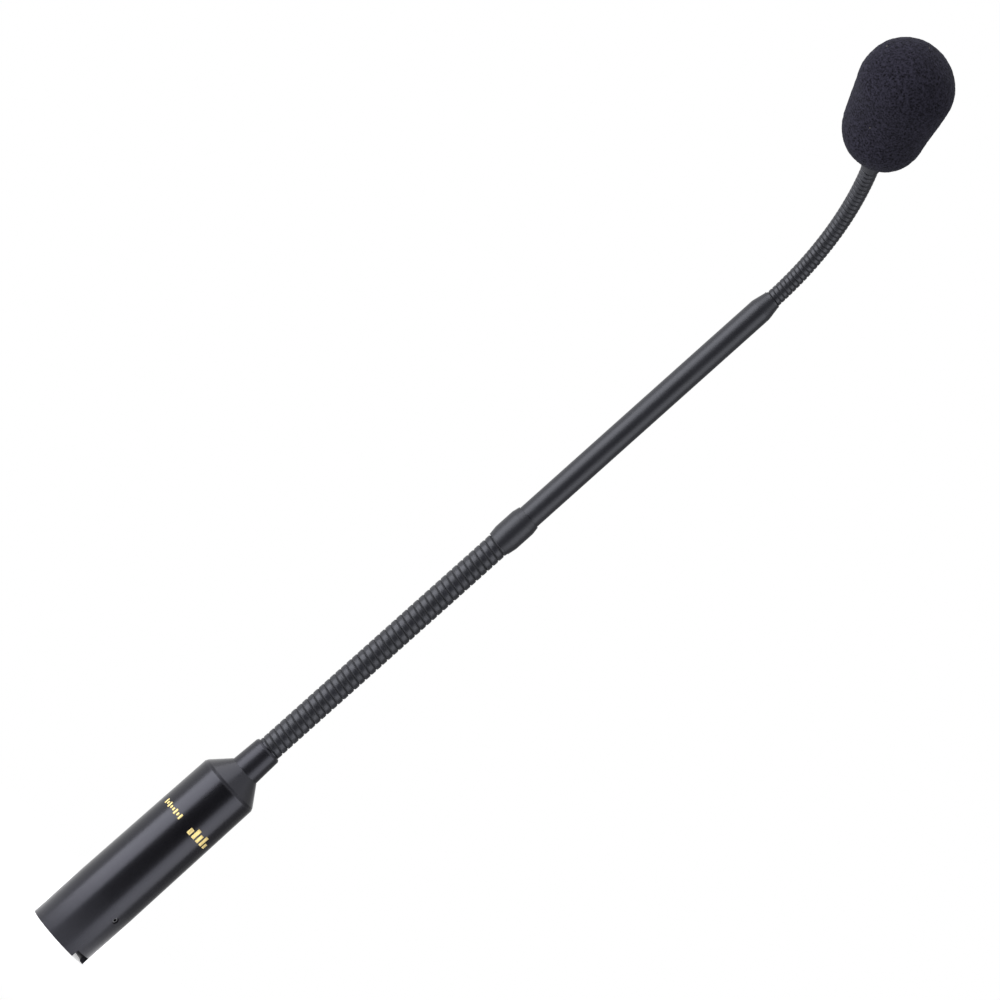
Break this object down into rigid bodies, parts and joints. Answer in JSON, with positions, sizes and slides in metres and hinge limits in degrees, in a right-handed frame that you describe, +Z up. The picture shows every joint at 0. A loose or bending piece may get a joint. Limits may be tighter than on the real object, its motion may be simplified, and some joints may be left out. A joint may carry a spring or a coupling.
{
  "type": "gooseneck podium microphone",
  "caption": "Slim gooseneck podium microphone with a three-pin plug base, two bendable neck stretches, a stiff middle tube and a foam windscreen.",
  "frame": {"origin": "centre of the plug's rim, where the base goes into its socket", "axes": "+Z up along the base barrel, head bent towards -Y, latch notch of the plug towards +X"},
  "size_m": [0.0262, 0.0606, 0.3281],
  "materials": {
    "black_enamel": "satin black paint",
    "neck_winding": "satin black, wound steel",
    "insert_nylon": "moulded nylon",
    "silver_contact": "silver-plated",
    "screw_steel": "blackened steel",
    "board_laminate": "green laminate",
    "component_black": "moulded resin",
    "capacitor_can": "bare can",
    "lead_jacket": "soft jacket",
    "gasket_rubber": "soft rubber",
    "felt": "pressed felt",
    "windscreen_foam": "open-cell foam"
  },
  "bodies": {
    "base": {"base_barrel": "black_enamel", "plug_insert": "insert_nylon", "contact_pin_1": "silver_contact", "contact_pin_2": "silver_contact", "contact_pin_3": "silver_contact", "insert_set_screw": "screw_steel", "ground_ring": "screw_steel", "board_cradle": "insert_nylon", "preamp_board": "board_laminate", "board_chip": "component_black", "board_capacitors": "capacitor_can", "board_resistors": "component_black", "pin_leads": "lead_jacket", "ferrule_nut": "screw_steel", "neck_ferrule": "black_enamel", "cable_clamp": "insert_nylon", "base_leads": "lead_jacket", "lower_neck_cable": "lead_jacket"},
    "lower_neck_01": {"lower_neck_link_01": "neck_winding"},
    "lower_neck_02": {"lower_neck_link_02": "neck_winding"},
    "lower_neck_03": {"lower_neck_link_03": "neck_winding"},
    "lower_neck_04": {"lower_neck_link_04": "neck_winding"},
    "lower_neck_05": {"lower_neck_link_05": "neck_winding"},
    "lower_neck_06": {"lower_neck_link_06": "neck_winding"},
    "lower_neck_07": {"lower_neck_link_07": "neck_winding"},
    "lower_neck_08": {"lower_neck_link_08": "neck_winding"},
    "lower_neck_09": {"lower_neck_link_09": "neck_winding"},
    "lower_neck_10": {"lower_neck_link_10": "neck_winding"},
    "lower_neck_11": {"lower_neck_link_11": "neck_winding"},
    "middle": {"coupling_sleeve": "black_enamel", "middle_tube": "black_enamel", "reducer": "black_enamel", "tube_cable": "lead_jacket", "upper_neck_cable": "lead_jacket"},
    "upper_neck_01": {"upper_neck_link_01": "neck_winding"},
    "upper_neck_02": {"upper_neck_link_02": "neck_winding"},
    "upper_neck_03": {"upper_neck_link_03": "neck_winding"},
    "upper_neck_04": {"upper_neck_link_04": "neck_winding"},
    "upper_neck_05": {"upper_neck_link_05": "neck_winding"},
    "upper_neck_06": {"upper_neck_link_06": "neck_winding"},
    "upper_neck_07": {"upper_neck_link_07": "neck_winding"},
    "upper_neck_08": {"upper_neck_link_08": "neck_winding"},
    "upper_neck_09": {"upper_neck_link_09": "neck_winding"},
    "head": {"head_collar": "black_enamel", "capsule_housing": "black_enamel", "collar_nut": "screw_steel", "capsule_leads": "lead_jacket", "capsule_board": "board_laminate", "capsule_gasket": "gasket_rubber", "electret_capsule": "capacitor_can", "acoustic_felt": "felt", "front_grille": "screw_steel", "grille_ring": "screw_steel"},
    "windscreen": {"windscreen": "windscreen_foam"}
  },
  "joints": [
    {"name": "lower_pitch", "type": "hinge", "parent": "base", "child": "lower_neck_01", "pos_m": [0, 0, 0.0782], "axis": [1, 0, 0], "range_deg": [-12.5, 12.5], "deforming": ["lower_neck_cable"]},
    {"name": "lower_yaw", "type": "hinge", "parent": "lower_neck_01", "child": "lower_neck_02", "pos_m": [0, 0, 0.08501], "axis": [0, 1, 0], "range_deg": [-12.5, 12.5]},
    {"name": "lower_pitch_2", "type": "hinge", "parent": "lower_neck_02", "child": "lower_neck_03", "pos_m": [0, 0, 0.09182], "axis": [1, 0, 0], "range_deg": [-12.5, 12.5]},
    {"name": "lower_yaw_2", "type": "hinge", "parent": "lower_neck_03", "child": "lower_neck_04", "pos_m": [0, 0, 0.09863], "axis": [0, 1, 0], "range_deg": [-12.5, 12.5]},
    {"name": "lower_pitch_3", "type": "hinge", "parent": "lower_neck_04", "child": "lower_neck_05", "pos_m": [0, 0, 0.10544], "axis": [1, 0, 0], "range_deg": [-12.5, 12.5]},
    {"name": "lower_yaw_3", "type": "hinge", "parent": "lower_neck_05", "child": "lower_neck_06", "pos_m": [0, 0, 0.11225], "axis": [0, 1, 0], "range_deg": [-12.5, 12.5]},
    {"name": "lower_pitch_4", "type": "hinge", "parent": "lower_neck_06", "child": "lower_neck_07", "pos_m": [0, 0, 0.11905], "axis": [1, 0, 0], "range_deg": [-12.5, 12.5]},
    {"name": "lower_yaw_4", "type": "hinge", "parent": "lower_neck_07", "child": "lower_neck_08", "pos_m": [0, 0, 0.12586], "axis": [0, 1, 0], "range_deg": [-12.5, 12.5]},
    {"name": "lower_pitch_5", "type": "hinge", "parent": "lower_neck_08", "child": "lower_neck_09", "pos_m": [0, 0, 0.13267], "axis": [1, 0, 0], "range_deg": [-12.5, 12.5]},
    {"name": "lower_yaw_5", "type": "hinge", "parent": "lower_neck_09", "child": "lower_neck_10", "pos_m": [0, 0, 0.13948], "axis": [0, 1, 0], "range_deg": [-12.5, 12.5]},
    {"name": "lower_pitch_6", "type": "hinge", "parent": "lower_neck_10", "child": "lower_neck_11", "pos_m": [0, 0, 0.14629], "axis": [1, 0, 0], "range_deg": [-12.5, 12.5]},
    {"name": "lower_yaw_6", "type": "hinge", "parent": "lower_neck_11", "child": "middle", "pos_m": [0, 0, 0.1531], "axis": [0, 1, 0], "range_deg": [-12.5, 12.5]},
    {"name": "upper_pitch", "type": "hinge", "parent": "middle", "child": "upper_neck_01", "pos_m": [0, 0, 0.25603], "axis": [1, 0, 0], "range_deg": [-27.2, 8.8], "deforming": ["upper_neck_cable"]},
    {"name": "upper_yaw", "type": "hinge", "parent": "upper_neck_01", "child": "upper_neck_02", "pos_m": [0, -0.00037, 0.26066], "axis": [0, 0.9928, 0.1201], "range_deg": [-15, 15]},
    {"name": "upper_pitch_2", "type": "hinge", "parent": "upper_neck_02", "child": "upper_neck_03", "pos_m": [0, -0.00112, 0.26525], "axis": [1, 0, 0], "range_deg": [-27.2, 8.8]},
    {"name": "upper_yaw_2", "type": "hinge", "parent": "upper_neck_03", "child": "upper_neck_04", "pos_m": [0, -0.00223, 0.26977], "axis": [0, 0.9608, 0.2773], "range_deg": [-15, 15]},
    {"name": "upper_pitch_3", "type": "hinge", "parent": "upper_neck_04", "child": "upper_neck_05", "pos_m": [0, -0.00369, 0.27418], "axis": [1, 0, 0], "range_deg": [-27.2, 8.8]},
    {"name": "upper_yaw_3", "type": "hinge", "parent": "upper_neck_05", "child": "upper_neck_06", "pos_m": [0, -0.00551, 0.27846], "axis": [0, 0.9041, 0.4274], "range_deg": [-15, 15]},
    {"name": "upper_pitch_4", "type": "hinge", "parent": "upper_neck_06", "child": "upper_neck_07", "pos_m": [0, -0.00766, 0.28258], "axis": [1, 0, 0], "range_deg": [-27.2, 8.8]},
    {"name": "upper_yaw_4", "type": "hinge", "parent": "upper_neck_07", "child": "upper_neck_08", "pos_m": [0, -0.01014, 0.28651], "axis": [0, 0.8241, 0.5664], "range_deg": [-15, 15]},
    {"name": "upper_pitch_5", "type": "hinge", "parent": "upper_neck_08", "child": "upper_neck_09", "pos_m": [0, -0.01293, 0.29024], "axis": [1, 0, 0], "range_deg": [-27.2, 8.8]},
    {"name": "upper_yaw_5", "type": "hinge", "parent": "upper_neck_09", "child": "head", "pos_m": [0, -0.016, 0.29373], "axis": [0, 0.723, 0.6909], "range_deg": [-15, 15]},
    {"name": "windscreen_slide", "type": "slide", "parent": "head", "child": "windscreen", "axis": [0, -0.7193, 0.6947], "range_m": [0, 0.045]}
  ],
  "couplings": [
    {"joint": "lower_pitch_2", "follows": "lower_pitch", "ratio": 1},
    {"joint": "lower_yaw_2", "follows": "lower_yaw", "ratio": 1},
    {"joint": "lower_pitch_3", "follows": "lower_pitch", "ratio": 1},
    {"joint": "lower_yaw_3", "follows": "lower_yaw", "ratio": 1},
    {"joint": "lower_pitch_4", "follows": "lower_pitch", "ratio": 1},
    {"joint": "lower_yaw_4", "follows": "lower_yaw", "ratio": 1},
    {"joint": "lower_pitch_5", "follows": "lower_pitch", "ratio": 1},
    {"joint": "lower_yaw_5", "follows": "lower_yaw", "ratio": 1},
    {"joint": "lower_pitch_6", "follows": "lower_pitch", "ratio": 1},
    {"joint": "lower_yaw_6", "follows": "lower_yaw", "ratio": 1},
    {"joint": "upper_pitch_2", "follows": "upper_pitch", "ratio": 1},
    {"joint": "upper_yaw_2", "follows": "upper_yaw", "ratio": 1},
    {"joint": "upper_pitch_3", "follows": "upper_pitch", "ratio": 1},
    {"joint": "upper_yaw_3", "follows": "upper_yaw", "ratio": 1},
    {"joint": "upper_pitch_4", "follows": "upper_pitch", "ratio": 1},
    {"joint": "upper_yaw_4", "follows": "upper_yaw", "ratio": 1},
    {"joint": "upper_pitch_5", "follows": "upper_pitch", "ratio": 1},
    {"joint": "upper_yaw_5", "follows": "upper_yaw", "ratio": 1}
  ]
}
